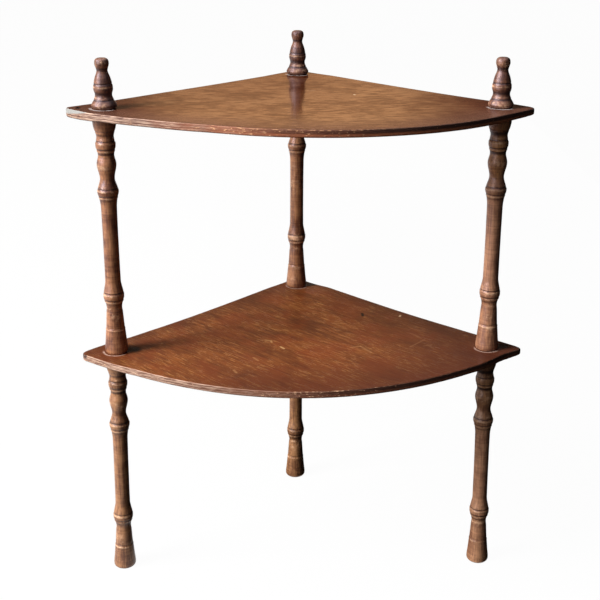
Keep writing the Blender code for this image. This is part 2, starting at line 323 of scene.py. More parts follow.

# Handling and dirt: bare wood where a form stands proud, old polish and dust in the hollows.
# Where the turnings' lines feed it, the same pale and dark colours paint highlights and shade.
WEAR_AND_LIGHT, given, end = group(
    "handling_wear_and_painted_light",
    {"Color": ("Color", None), "Vector": ("Vector", None), "Rub_and_highlight": ("Float", 0.0),
     "Dirt_and_shade": ("Float", 0.0), "Bare": ("Color", None), "Grime_and_shade": ("Color", None)},
    {"Color": "Color", "Worn": "Float"})
speckle = clouds(given["Vector"], 260.0, 4.0, 0.65)
patch = clouds(given["Vector"], 45.0, 2.0)
broken = plus(given["Rub_and_highlight"], weighted(-0.80, (speckle, 1.6)))
worn = fade(plus(broken, weighted(-0.70, (patch, 1.4))), 0.25, 0.95)
grime_and_shade = times(given["Dirt_and_shade"], weighted(0.60, (speckle, 0.8)))
dulled = mixed(fade(grime_and_shade, 0.05, 0.95), given["Color"], given["Grime_and_shade"])
feed(end, {"Color": mixed(worn, dulled, given["Bare"]), "Worn": worn})

# The turnings' wood where its stain is thin or gone, as it looks on a screen
GOLDEN_WOOD = (206, 152, 84)
PINK_WOOD = (206, 154, 122)
SHADED_WOOD = (112, 66, 46)
# Rubbed wood, also the colour of the painted highlights on the turnings' pale lines
RUBBED_WOOD_AND_HIGHLIGHT = (220, 176, 140)
PORE = (74, 42, 30)
# Old polish, also the colour of the painted shade in the turnings' dark lines
OLD_POLISH_AND_SHADE = (44, 24, 17)


def new_material(name):
    """A new material, its Principled shader and the object's coordinates in it."""
    material = bpy.data.materials.new(name)
    material.use_nodes = True
    tree = material.node_tree
    return material, tree.nodes["Principled BSDF"], put("TexCoord", {}, tree)["Object"]


def finish_turned_wood(name, dark, light, gloss, tint):
    """Walnut-brown stain on close-grained hardwood, with a thin satin varnish: the stain's dark
    and light tones, the varnish's roughness where it is unworn, and the tint of its shine."""
    material, shader, place = new_material(name)
    grain = use(GRAIN, {"Vector": stretched(place, 0, (1.7, 1.7, 38))})
    blotch = clouds(place, 60.0, 3.0, 0.6)
    bands = clouds(stretched(place, 0, (45, 45, 1.6)), 1.0, 3.0)
    tone = weighted(-0.24, (blotch, 0.55), (grain["Streaks"], 0.60), (bands, 0.32))
    colour = mixed(fade(tone, 0.32, 0.68), srgb(*dark), srgb(*light))
    # Paler wood, partly painted light on the right posts and along the shafts
    pale = attribute(material, "pale")
    pale_wood = mixed(fade(pale, 0.22, 0.31), srgb(*GOLDEN_WOOD), srgb(*PINK_WOOD))
    pale_wood = layered(pale_wood, (fade(tone, 0.36, 0.66, 0.60, 0.0), SHADED_WOOD))
    colour = layered(mixed(pale, colour, pale_wood), (grain["Pores"], PORE, 0.3))
    wear = use(WEAR_AND_LIGHT, {
        "Color": colour, "Vector": place, "Bare": srgb(*RUBBED_WOOD_AND_HIGHLIGHT), "Grime_and_shade": srgb(*OLD_POLISH_AND_SHADE),
        "Rub_and_highlight": attribute(material, "rub_and_highlight"), "Dirt_and_shade": attribute(material, "dirt_and_shade")})
    dents = clouds(place, 320.0, 4.0, 0.6)
    height = weighted(0.0, (dents, 0.9), (grain["Streaks"], 0.4), (bands, 0.3))
    feed(shader, {
        "Base Color": wear["Color"],
        "Roughness": weighted(gloss, (wear["Worn"], 0.15), (blotch, 0.18)),
        "Normal": relief(height, 0.55, 0.0007),
        "Specular IOR Level": 0.7, "Specular Tint": srgb(*tint)})
    return material


LEG_WOOD = finish_turned_wood("leg_varnish", (92, 56, 38), (172, 122, 83), 0.32,
                              (255, 234, 230))
LEG_SIDE = turned_side(FOOT_PROFILE + SHAFT_PROFILE + HEAD_PROFILE, LEG_SCRIBES, LEG_LIPS,
                       LEG_LENGTH * 1000)
POSTS = {side: [(low + high) / 2 for low, high in zip(*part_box("lower_leg_" + side))]
         for side in ("left", "right", "back")}
LEG_LEAN = {"left": (-0.0020, 0.0004), "right": (0.0033, 0.0), "back": (-0.0015, -0.0004)}
# Where a leg is rubbed (above zero) in patches, or darkened (below): height, half length,
# strength. The dark patches, on the right leg, are painted shade in the necks under the shelf.
LEG_SCARS_AND_SHADE = {"left": ((203, 8, 0.45), (40, 9, 0.3)),
             "right": ((40, 8, 0.25), (236, 4, -0.9), (216, 3.5, -0.85), (204, 6, 0.4)),
             "back": ((40, 10, 0.4),)}
# How much paler wood shows on each leg; on the right leg it is partly painted light, lifting a
# post that less light reaches.
LEG_PALE = {"left": 0.0, "right": 0.56, "back": 0.08}

for number, (side, post) in enumerate(POSTS.items()):
    leg = turning("turned_leg_" + side, LEG_SIDE, LEG_SCARS_AND_SHADE[side] + LEG_LINES, post, 0.0,
                  (False, True), LEG_LEAN[side], 11 + number, LEG_PALE[side])
    leg.data.materials.append(LEG_WOOD)
    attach(leg, "root")
    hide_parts("lower_leg_" + side)

# The bottom shelf: a sheet of 7 mm plywood, sawn to a bowed front and two hollow wall edges,
# stained and varnished, and clamped at its three corners between the legs and the spindles. Its
# sawn edge shows the plies, and it has sagged a little.
BOARD_THICKNESS = 0.007
HOLE_RADIUS = 0.0035
# The outline: its tips ahead of the front posts, its corner behind the back post, the front's
# bow, the walls' hollow and the rounding of the corners
TIP_LEAD = 0.002
CORNER_MARGIN = 0.027
FRONT_BOW = 0.099
WALL_HOLLOW = 0.004
TIP_ROUND = 0.0062
POST_LINE = POSTS["left"][1]
HALF_SPREAD = POSTS["right"][0]
RIM_STEP = 0.00115
SAW_MARKS = 0.00006
FACE_RINGS = 30
DRILL_SIDES = 32
DRILL_LENGTH = 0.04
# A turning holds the board flat within the seat's radius, and ever less over its reach
SEAT_RADIUS = 0.014
SEAT_REACH = 0.031
# The edge's profile: height and inset from the outline, as shares of the thickness
EDGE_PROFILE = (
    (1, 0.16), (0.985, 0.09), (0.955, 0.045), (0.91, 0.02), (0.86, 0.008), (0.80, 0.002),
    (0.74, 0), (0.68, 0), (0.62, 0), (0.56, 0), (0.50, 0), (0.44, 0), (0.38, 0), (0.32, 0),
    (0.26, 0.002), (0.20, 0.008), (0.15, 0.02), (0.10, 0.04), (0.055, 0.08), (0.02, 0.13),
    (0, 0.19),
)


def arc(start, end, bulge, count):
    """Points along a circular arc that stands off its chord by the bulge, to the right."""
    chord = end - start
    span = np.hypot(*chord)
    radius = (span ** 2 / 4 + bulge ** 2) / (2 * abs(bulge))
    side = np.array([chord[1], -chord[0]]) / span * np.sign(bulge)
    centre = (start + end) / 2 - side * (radius - abs(bulge))
    half = math.asin(span / (2 * radius))
    angle = np.linspace(-half, half, count, endpoint=False)[:, None]
    return centre + radius * (chord / span * np.sin(angle) + side * np.cos(angle))


def rounded_outline(reaches):
    """The board's outline, anticlockwise and evenly spaced: three arcs, whose corners are then
    rounded by a moving average of 11 mm to each side that fades away from a corner. The reaches
    say how far the left and right corners stand out past the posts' axes."""
    left = np.array([-HALF_SPREAD - reaches[0], POST_LINE - TIP_LEAD])
    right = np.array([HALF_SPREAD + reaches[1], POST_LINE - TIP_LEAD])
    back = np.array([0.0, POST_LINE + HALF_SPREAD + CORNER_MARGIN])
    path = np.vstack([arc(left, right, FRONT_BOW, 2400), arc(right, back, -WALL_HOLLOW, 1500),
                      arc(back, left, -WALL_HOLLOW, 1500)])
    corners = np.array([left, right, back])
    near = np.min(np.linalg.norm(path[:, None] - corners[None], axis=2), axis=1)
    window = 54
    smooth = sum(np.roll(path, k, axis=0) for k in range(-window, window + 1)) / (2 * window + 1)
    share = np.clip(2 - near / (2 * TIP_ROUND), 0, 1)[:, None]
    path = path * (1 - share) + smooth * share
    loop = np.vstack([path, path[:1]])
    run = np.concatenate([[0.0], np.cumsum(np.linalg.norm(np.diff(loop, axis=0), axis=1))])
    count = int(run[-1] / RIM_STEP)
    even = np.arange(count) * run[-1] / count
    return np.stack([np.interp(even, run, loop[:, i]) for i in (0, 1)], axis=1)


def clear_of_posts(x, y):
    """0 where a turning stands on the board, rising smoothly to 1 at 45 mm from its axis."""
    nearest = np.min([np.hypot(x - post[0], y - post[1]) for post in POSTS.values()], axis=0)
    share = np.clip((nearest - SEAT_RADIUS) / SEAT_REACH, 0, 1)
    return share * share * (3 - 2 * share)


def board(name, bottom, reaches, warp, drift, swell, seed):
    """One shelf. Rows run from the middle of the upper face out to the rim, over the worn edge
    and back under to the middle, and columns run round the outline. The warp gives the height
    that is added at a place, the drift how far the sawn front stands ahead of its arc, and the
    swell how much thicker the opened plies have made the rim."""
    chance = np.random.default_rng(seed)
    outline = rounded_outline(reaches)
    columns = len(outline)
    middle = np.array([0.0, POST_LINE + 0.02])
    front = np.clip((POST_LINE - outline[:, 1]) / 0.03, 0, 1)
    outline[:, 1] -= drift(outline[:, 0]) * front
    tangent = np.roll(outline, -1, axis=0) - np.roll(outline, 1, axis=0)
    normal = np.stack([tangent[:, 1], -tangent[:, 0]], axis=1)
    normal /= np.linalg.norm(normal, axis=1)[:, None]
    edge_height, edge_inset = np.array(EDGE_PROFILE).T
    rough = chance.normal(size=(len(edge_height), columns))
    kernel = np.hanning(7)[1:-1]
    for row in rough:
        row[:] = np.convolve(np.pad(row, 2, mode="wrap"), kernel / kernel.sum(), mode="valid")
    # The right tip is worn up to three times as round as the rest of the edge
    worn = 1 + 2.2 * np.clip((outline[:, 0] - 0.218) / 0.018, 0, 1)
    inset = edge_inset[:, None] * BOARD_THICKNESS * worn + SAW_MARKS * rough
    rim = outline[None] - normal[None] * inset[..., None]
    shares = 1 - (np.arange(1, FACE_RINGS) / FACE_RINGS) ** 1.5
    inner = middle + (rim[0][None] - middle) * shares[::-1][:, None, None]
    under = middle + (rim[-1][None] - middle) * shares[:, None, None]
    centre = np.broadcast_to(middle, (1, columns, 2))
    plan = np.concatenate([centre, inner, rim, under, centre])
    ply = np.concatenate([np.ones(1 + len(inner)), edge_height, np.zeros(len(under) + 1)])
    reach = np.concatenate([[0], shares[::-1], np.ones(len(edge_height)), shares, [0]])
    at_rim = np.clip((reach - 0.90) / 0.10, 0, 1) ** 2
    ply = np.repeat(ply[:, None], columns, axis=1)
    x, y = plan[..., 0], plan[..., 1]
    z = bottom + ply * BOARD_THICKNESS + warp(x, y) * clear_of_posts(x, y)
    z += (ply - 0.5) * at_rim[:, None] * swell(outline[:, 0], outline[:, 1])[None]
    piece = closed_surface(name, np.stack([x, y, z], axis=-1), {"ply": ply})
    drill(piece, [(post[0], post[1], HOLE_RADIUS, bottom - 0.01) for post in POSTS.values()],
          bottom + BOARD_THICKNESS / 2)
    mark_insets(piece, outline)
    return piece


def read(items, key, kind=np.float32):
    """One number for each point, corner or face of a mesh."""
    values = np.empty(len(items), kind)
    items.foreach_get(key, values)
    return values


def points_of(mesh):
    """The places of a mesh's points, as rows of x, y and z."""
    flat = np.empty(3 * len(mesh.vertices), np.float32)
    mesh.vertices.foreach_get("co", flat)
    return flat.reshape(-1, 3)


def drill(piece, holes, half_way):
    """Cuts round holes down into a board, each to its own depth, and leaves no modifier and no
    cutter behind. A hole's rim counts as the upper face above the half-way height, and as the
    lower face below it."""
    here = np.arange(DRILL_SIDES)
    beside = (here + 1) % DRILL_SIDES
    turn = here * 2 * np.pi / DRILL_SIDES
    points, faces = [], []
    for number, (x, y, radius, floor) in enumerate(holes):
        ring = np.stack([x + radius * np.cos(turn), y + radius * np.sin(turn)], axis=1)
        points += [np.column_stack([ring, np.full(DRILL_SIDES, z)])
                   for z in (floor, floor + DRILL_LENGTH)]
        low = 2 * DRILL_SIDES * number + here
        high = low + DRILL_SIDES
        faces += [low[::-1].tolist(), high.tolist()]
        faces += np.column_stack([low, low[beside], high[beside], high]).tolist()
    cutter_mesh = bpy.data.meshes.new("drill")
    cutter_mesh.from_pydata(np.vstack(points), [], faces)
    cutter = add_object("drill", cutter_mesh)
    cut = piece.modifiers.new("holes", "BOOLEAN")
    cut.operation, cut.solver, cut.object = "DIFFERENCE", "EXACT", cutter
    evaluated = piece.evaluated_get(bpy.context.evaluated_depsgraph_get())
    drilled = bpy.data.meshes.new_from_object(evaluated)
    drilled.set_sharp_from_angle(angle=SHARP_ANGLE)
    piece.modifiers.clear()
    old, piece.data = piece.data, drilled
    drilled.name = piece.name
    bpy.data.meshes.remove(old)
    bpy.data.objects.remove(cutter)
    bpy.data.meshes.remove(cutter_mesh)
    x, y, z = points_of(drilled).T
    ply = read(drilled.attributes["ply"].data, "value")
    for at_x, at_y, radius, _ in holes:
        ply = np.where(np.hypot(x - at_x, y - at_y) < 1.01 * radius, z > half_way, ply)
    drilled.attributes["ply"].data.foreach_set("value", ply.astype(np.float32))


def mark_insets(piece, outline):
    """Keeps each point's distance behind the bowed front and behind the wall edges."""
    plan = points_of(piece.data)[:, :2]
    is_front = outline[:, 1] < POST_LINE - 0.004
    for key, line in (("front_inset", outline[is_front]), ("wall_inset", outline[~is_front])):
        line = line[::3]
        keep(piece.data, key, np.concatenate([
            np.min(np.hypot(block[:, None, 0] - line[None, :, 0],
                            block[:, None, 1] - line[None, :, 1]), axis=1)
            for block in np.array_split(plan, 60)]))


def vector(operation, first, second=(0, 0, 0)):
    return put("VectorMath", {0: first, 1: second}, operation=operation)


# A scratch or a mark on a board, seen in plan: 1 along the line from start to end, fading out
# over the width.
SCRATCH, given, end = group(
    "scratch", {"Vector": ("Vector", None), "Start": ("Vector", None), "End": ("Vector", None),
                "Width": ("Float", 0.001)}, {"Mask": "Float"})
plan = vector("MULTIPLY", given["Vector"], (1, 1, 0))[0]
along = vector("SUBTRACT", given["End"], given["Start"])[0]
toward = vector("SUBTRACT", plan, given["Start"])[0]
overlap = vector("DOT_PRODUCT", toward, along)["Value"]
square = vector("DOT_PRODUCT", along, along)["Value"]
share = put("Clamp", {0: calc("DIVIDE", overlap, square)})[0]
foot = put("VectorMath", {0: along, "Scale": share}, operation="SCALE")[0]
off = vector("DISTANCE", toward, foot)["Value"]
feed(end, {"Mask": fade(calc("DIVIDE", off, given["Width"]), 0.35, 1.0, 1.0, 0.0)})

# A pale ring on a board round the foot of a turning, part scuffed varnish and part painted
# highlight: it is strongest where Facing points, to the front and a little to the left, towards
# the camera and the lamps.
SCUFF_AND_HIGHLIGHT_RING, given, end = group(
    "scuffed_ring_and_highlight", {"Vector": ("Vector", None), "Post": ("Vector", None),
                     "Facing": ("Vector", (-0.35, -0.94, 0.0)), "Reach": ("Float", 0.0156)},
    {"Mask": "Float"})
plan = vector("MULTIPLY", given["Vector"], (1, 1, 0))[0]
away = vector("SUBTRACT", plan, given["Post"])[0]
radial = vector("LENGTH", away)["Value"]
faces = vector("DOT_PRODUCT", vector("NORMALIZE", away)[0], given["Facing"])["Value"]
band = times(fade(radial, 0.0116, 0.0124), fade(
    radial, calc("SUBTRACT", given["Reach"], 0.0016), given["Reach"], 1.0, 0.0))
speckle = fade(clouds(given["Vector"], 260.0, 3.0), 0.28, 0.50)
feed(end, {"Mask": times(times(band, fade(faces, 0.05, 0.60)), speckle)})

# The sawn edge: plies in turn light and dark, and a film of stain that has chipped away.
PLIES, given, end = group(
    "sawn_plies", {"Vector": ("Vector", None), "Height": ("Float", 0.0)},
    {"Tone": "Float", "Line": "Float", "Chips": "Float"})
slow = clouds(given["Vector"], 25.0, 2.0)
fine = clouds(stretched(given["Vector"], 0, (12, 12, 1.0)), 1.0, 5.0, 0.65)
level = plus(times(given["Height"], 5.0), weighted(-0.45, (slow, 0.9)))
saw = calc("FRACT", plus(level, 10.0))
line = calc("MINIMUM", saw, calc("SUBTRACT", 1.0, saw))
parity = calc("PINGPONG", level, 1.0)
feed(end, {
    "Tone": weighted(fine, (parity, 0.18)),
    "Line": fade(line, 0.06, 0.20, 1.0, 0.0),
    "Chips": clouds(stretched(given["Vector"], 0, (4, 4, 1.3)), 1.0, 3.0, 0.6)})

PLY_SEAM = (88, 54, 42)


def finish_edge(name, bare, seam, film, under_film, chip, bare_end, chips_end, tip, tip_end,
                tip_slant, marks=()):
    """The board's sawn edge: bare plies from the left tip to bare_end, then a film of stain
    that is darker above than below, with chips through it that thin out up to chips_end. The
    worn left tip has its own colour up to tip_end, and tip_slant less than that below."""
    material, shader, place = new_material(name)
    height = attribute(material, "ply")
    ply = use(PLIES, {"Vector": place, "Height": height})
    x = put("SeparateXYZ", {0: place})[0]
    across = plus(x, weighted(-0.07, (clouds(place, 40.0, 3.0), 0.14)))
    wood = mixed(fade(ply["Tone"], 0.46, 0.74), srgb(*seam), srgb(*bare))
    lines = times(ply["Line"], fade(ply["Tone"], 0.35, 0.65, 0.95, 0.5))
    wood = layered(wood, (lines, PLY_SEAM),
                   (fade(across, bare_end - 0.13, bare_end, 0.0, 0.70), under_film))
    deep = times(fade(height, 0.28, 0.62), fade(across, bare_end, chips_end, 0.65, 1.0))
    stain = layered(mixed(deep, srgb(*under_film), srgb(*film)),
                    (fade(ply["Tone"], 0.50, 0.80, 0.0, 0.35), seam))
    stained = fade(weighted(across, (ply["Tone"], -0.06)), bare_end - 0.06, bare_end)
    limit = plus(fade(across, bare_end - 0.05, bare_end, 0.66, 0.60),
                 fade(across, bare_end, chips_end, 0.0, 0.09))
    flaked = fade(calc("SUBTRACT", ply["Chips"], limit), 0.0, 0.03)
    rim = times(fade(height, 0.86, 0.95), fade(ply["Chips"], 0.46, 0.62))
    rim = times(rim, fade(across, chips_end - 0.06, chips_end, 0.75, 0.1))
    rim = times(rim, fade(across, bare_end - 0.02, bare_end, 0.1, 1.0))
    outward = plus(weighted(x, (ply["Chips"], 0.012)), fade(height, 0.3, 1.0, tip_slant, 0.0))
    worn_tip = times(fade(outward, tip_end, tip_end + 0.004, 1.0, 0.0),
                     fade(plus(height, ply["Chips"]), 0.80, 1.05))
    colour = layered(mixed(stained, wood, stain), (flaked, chip), (rim, chip), (worn_tip, tip))
    feed(shader, {
        "Base Color": marked(place, colour, marks), "Roughness": 0.62, "Specular IOR Level": 0.25,
        "Normal": relief(plus(ply["Tone"], ply["Chips"]), 0.7, 0.0007)})
    return material


def marked(place, colour, marks):
    """Lays a list of marks over a colour. Each is (start, end, width, colour, strength), in
    millimetres on the board's upper face."""
    for start, stop, width, tint, strength in marks:
        mask = use(SCRATCH, {
            "Vector": place, "Start": (start[0] / 1000, start[1] / 1000, 0),
            "End": (stop[0] / 1000, stop[1] / 1000, 0), "Width": width / 1000})["Mask"]
        colour = layered(colour, (mask, tint, strength))
    return colour


def beside(post):
    """A painted shadow on the board to the right of a turning's foot, where the lamp on the left
    throws the turning's shadow.
    """
    x, y = 1000 * post[0], 1000 * post[1]
    return (x + 8, y + 3), (x + 19, y + 4), 10.0, (20, 11, 8), 1.0


def round_the_feet(place, colour, reach, tint, strength):
    """Lays the painted shadow beside each turning's foot, and the pale ring round it, part scuff
    and part painted highlight, over a colour.
    """
    for post in POSTS.values():
        colour = marked(place, colour, [beside(post)])
        ring = use(SCUFF_AND_HIGHLIGHT_RING, {"Vector": place, "Post": (post[0], post[1], 0), "Reach": reach})
        colour = layered(colour, (ring["Mask"], tint, strength))
    return colour


def finish_bottom_face():
    """Red-brown stain on a birch face whose streaks run along the right wall edge, with painted
    shade darkening its right part and its front.
    """
    material, shader, place = new_material("bottom_shelf_varnish")
    streaks, golden = (
        use(GRAIN, {"Vector": stretched(place, BOTTOM_GRAIN, size)})["Streaks"]
        for size in ((24, 2.4, 2.4), (12, 1.8, 1.8)))
    blotch = clouds(stretched(place, BOTTOM_GRAIN, (60, 30, 50)), 1.0, 4.0, 0.6, 0.3)
    tone = weighted(0.0, (blotch, 0.45), (streaks, 0.55))
    colour = mixed(fade(tone, 0.36, 0.64), srgb(98, 51, 30), srgb(150, 87, 47))
    golden = times(fade(golden, 0.53, 0.66), fade(blotch, 0.38, 0.58, 0.15, 1.0))
    red = clouds(place, 26.0, 3.0, 0.6)
    dark = clouds(stretched(place, BOTTOM_GRAIN, (9, 4, 4)), 1.0, 4.0, 0.6)
    across = put("SeparateXYZ", {0: place})[0]
    wall = fade(attribute(material, "wall_inset"), 0.0, 0.035, 0.45, 0.0)
    front = times(fade(attribute(material, "front_inset"), 0.0, 0.100, 0.68, 0.0),
                  fade(across, -0.14, -0.05))
    colour = layered(
        colour, (golden, (196, 136, 76), 0.85),
        (fade(red, 0.46, 0.62), (134, 64, 36), 0.5),
        (fade(dark, 0.58, 0.74), (76, 36, 24), 0.30),
        # The next layers darken the right part, the walls, the front and the left tip; on the
        # right part and the front this is painted shade.
        (fade(across, 0.02, 0.21, 0.0, 0.60), (90, 56, 42)),
        (wall, (80, 46, 33)), (front, (83, 42, 31)),
        (fade(across, -0.22, -0.145, 0.45, 0.0), (84, 48, 32)))
    upper = fade(attribute(material, "ply"), 0.4, 0.6)
    # The painted shadow beside each foot and the pale ring round it, part scuff and part painted
    # highlight
    used = round_the_feet(place, colour, 0.0148, (200, 170, 154), 0.8)
    feed(shader, {
        "Base Color": mixed(upper, colour, marked(place, used, BOTTOM_MARKS)),
        "Roughness": weighted(0.22, (blotch, 0.24)),
        "Normal": relief(plus(streaks, golden), 0.35, 0.0005),
        "Specular IOR Level": 0.05, "Specular Tint": srgb(255, 214, 180)})
    return material


# In degrees
BOTTOM_GRAIN = -45
# Marks on the bottom shelf: a worm hole, two scratched arcs, short pale nicks and dark spots
BOTTOM_MARKS = (
    ((72.7, 32.5), (72.7, 39.5), 2.4, (22, 11, 8), 1.0),
    ((53, -56), (63, -53), 1.6, (190, 138, 90), 0.45),
    ((63, -53), (73, -70), 1.6, (190, 138, 90), 0.45),
    ((116, -58), (134, -39), 1.5, (166, 112, 76), 0.35),
    ((-39, -33), (-33, -36), 1.7, (214, 164, 108), 0.5),
    ((-33, -36), (-32.5, -40), 1.6, (220, 172, 114), 0.5),
    ((37, 13.6), (51, 11.8), 1.8, (190, 134, 82), 0.4),
    ((-23, -52), (-19.5, -57), 1.8, (230, 184, 124), 0.6),
    ((-72, -112), (-69, -118), 1.8, (205, 150, 98), 0.35),
    ((-52, -80), (-47, -88), 1.6, (205, 150, 98), 0.4),
    ((115, 30), (116, 33), 1.8, (225, 190, 150), 0.9),
    ((131, -56), (140, -53), 1.4, (160, 110, 78), 0.35),
    ((-62, -124), (-68, -127), 6.0, (74, 38, 30), 0.4),
    ((-8, -28), (-2, -32), 7.0, (78, 40, 32), 0.4),
)


def dress_board(piece, face, edge):
    """Gives the flat faces one finish and the sawn edge another, by each face's height."""
    mesh = piece.data
    mesh.materials.clear()
    mesh.materials.append(face)
    mesh.materials.append(edge)
    ply = read(mesh.attributes["ply"].data, "value")
    corners = read(mesh.loops, "vertex_index", np.int32)
    first = read(mesh.polygons, "loop_start", np.int32)
    level = np.add.reduceat(ply[corners], first) / np.diff(np.append(first, len(corners)))
    on_edge = ((level > 0.01) & (level < 0.992)).astype(np.int32)
    mesh.polygons.foreach_set("material_index", on_edge)
    mesh.update()


# The wall edges in plan, as y = WALL_CORNER - WALL_SLOPE |x|, how much of a step along y is
# square to them, and how far in from them the board is warped
WALL_CORNER = 0.163
WALL_SLOPE = 0.957
WALL_SQUARE = 0.72
WALL_REACH = 0.08


def near_walls(x, y):
    """1 along the two wall edges, fading to 0 at the wall's reach from them."""
    inset = (WALL_CORNER - WALL_SLOPE * np.abs(x) - y) * WALL_SQUARE
    return np.clip(1 - inset / WALL_REACH, 0, 1)


def bottom_warp(x, y):
    """The bottom shelf hangs 1 mm low across its middle, and along its walls it stands high near
    the back post and low near the two others."""
    sag = 0.0001 + 0.0012 * (np.clip(np.abs(x) / 0.13, 0, 1.3) ** 2 - 0.85)
    wall = 0.0022 * np.cos(np.pi * np.clip(np.abs(x) / 0.19, 0, 1))
    return sag + near_walls(x, y) * (wall + np.interp(x, (-0.04, 0.04), (-0.0004, 0.0009)))


def bottom_drift(x):
    """The saw left the bottom shelf's front 2 mm fuller in the middle than its arc, and drew it
    back by 7 mm at the right tip."""
    fuller = 0.0022 * np.cos(np.pi * np.clip(x / 0.20, -1, 1)) + 0.0012 * np.clip(x / 0.12, 0, 1)
    return fuller - 0.0070 * np.clip((x - 0.185) / 0.03, 0, 1)


def at_front(y):
    """1 along the bowed front, fading to 0 at the tips."""
    return np.clip((POST_LINE + 0.004 - y) / 0.012, 0, 1)


def bottom_swell(x, y):
    """0.6 mm all along the front."""
    return 0.0006 * at_front(y)


bottom_shelf = board("plywood_bottom_shelf", LEG_LENGTH + SEAT_GAP, (0.0392, 0.0408),
                     bottom_warp, bottom_drift, bottom_swell, 3)
dress_board(bottom_shelf, finish_bottom_face(), finish_edge(
    "bottom_shelf_edge", bare=(198, 164, 142), seam=(112, 76, 60), film=(66, 38, 28),
    under_film=(124, 74, 52), chip=(226, 178, 140), bare_end=-0.02, chips_end=0.11,
    tip=(74, 52, 44), tip_end=-0.224, tip_slant=0.0))
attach(bottom_shelf, "root")
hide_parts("bottom_shelf")

# The lower dowel screws: plain steel, pointed at both ends, each driven up through the bottom
# shelf from a leg into the spindle above it. They are wholly inside the wood.


def finish_screw_steel():
    """Drawn bright steel: fine rings round the shank, and a faint brown bloom of rust."""
    material, shader, place = new_material("drawn_screw_steel")
    rings = clouds(stretched(place, 0, (16, 16, 0.4)), 1.0, 3.0)
    rust = fade(clouds(place, 420.0, 4.0, 0.6), 0.55, 0.75)
    colour = mixed(rings, srgb(150, 148, 145), srgb(196, 194, 190))
    feed(shader, {
        "Base Color": layered(colour, (rust, (122, 78, 52), 0.5)),
        "Metallic": fade(rust, 0.0, 1.0, 1.0, 0.55),
        "Roughness": weighted(0.25, (rings, 0.2)),
        "Normal": relief(rings, 0.2, 0.0001)})
    return material


SCREW_STEEL = finish_screw_steel()
for side in POSTS:
    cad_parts["lower_dowel_screw_" + side].material_slots[0].material = SCREW_STEEL

# The upper spindles: the same turning as the legs, drilled at both ends. Each stands on the
# bottom shelf over a leg and carries the top shelf.
SPINDLE_BOTTOM = LEG_LENGTH + BOARD_THICKNESS + 2 * SEAT_GAP
SPINDLE_LEAN = {"left": (0.0008, -0.0002), "right": (0.0, 0.0), "back": (-0.0008, -0.0001)}
# Where a spindle is rubbed (above zero) in patches, or darkened (below), as for the legs; the
# dark patches on the right spindle are painted shade in the necks under the top shelf.
SPINDLE_SCARS_AND_SHADE = {"left": ((41, 8, 0.55), (202, 6, 0.6)),
                 "right": ((40, 9, 0.35), (236, 4, -0.9), (216, 3.5, -0.85), (204, 6, 0.55)),
                 "back": ((63, 6, 0.45), (27, 6, 0.4), (12, 6, 0.35), (150, 60, 0.25))}
# How much paler wood shows on each spindle; on the right spindle it is partly painted light,
# lifting a post that less light reaches.
SPINDLE_PALE = {"left": 0.0, "right": 0.46, "back": 0.08}
SPINDLE_WOOD = finish_turned_wood("spindle_varnish", (88, 50, 35), (172, 118, 81), 0.32,
                                  (252, 230, 240))

for number, (side, post) in enumerate(POSTS.items()):
    spindle = turning("turned_spindle_" + side, LEG_SIDE, SPINDLE_SCARS_AND_SHADE[side] + LEG_LINES, post,
                      SPINDLE_BOTTOM, (True, True), SPINDLE_LEAN[side], 21 + number,
                      SPINDLE_PALE[side])
    spindle.data.materials.append(SPINDLE_WOOD)
    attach(spindle, "root")
    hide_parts("upper_spindle_" + side)

# The top shelf: the same plywood board as the bottom one, with a more golden, glossier varnish.
# It is clamped at its corners between the spindles and the finials.
TOP_BOTTOM = SPINDLE_BOTTOM + LEG_LENGTH + SEAT_GAP
# A nail hole that goes down into the left tip: place, radius and floor
NAIL = (-0.2235, -0.0615, 0.0018, TOP_BOTTOM + 0.002)
# A near-black mark over and round the nail hole
NAIL_DARK_MARK = ((-223.5, -63.5), (-223.5, -59.5), 3.4, (8, 4, 3), 1.0)
TOP_MARKS = (
    NAIL_DARK_MARK,
    ((56.5, 7.0), (56.5, 10.0), 1.6, (232, 206, 176), 0.9),
    ((6, 30), (16, 31), 1.2, (214, 176, 140), 0.5),
)
# In degrees
TOP_GRAIN = 6
# How far the saw wandered ahead of the front's arc: x and distance, in millimetres
TOP_DRIFT = ((-240, 0), (-190, -2.0), (-140, -5.2), (-95, -5.2), (-50, -0.5), (0, 3.0),
             (50, 5.0), (100, 5.2), (150, 3.4), (190, 0.5), (240, 0))


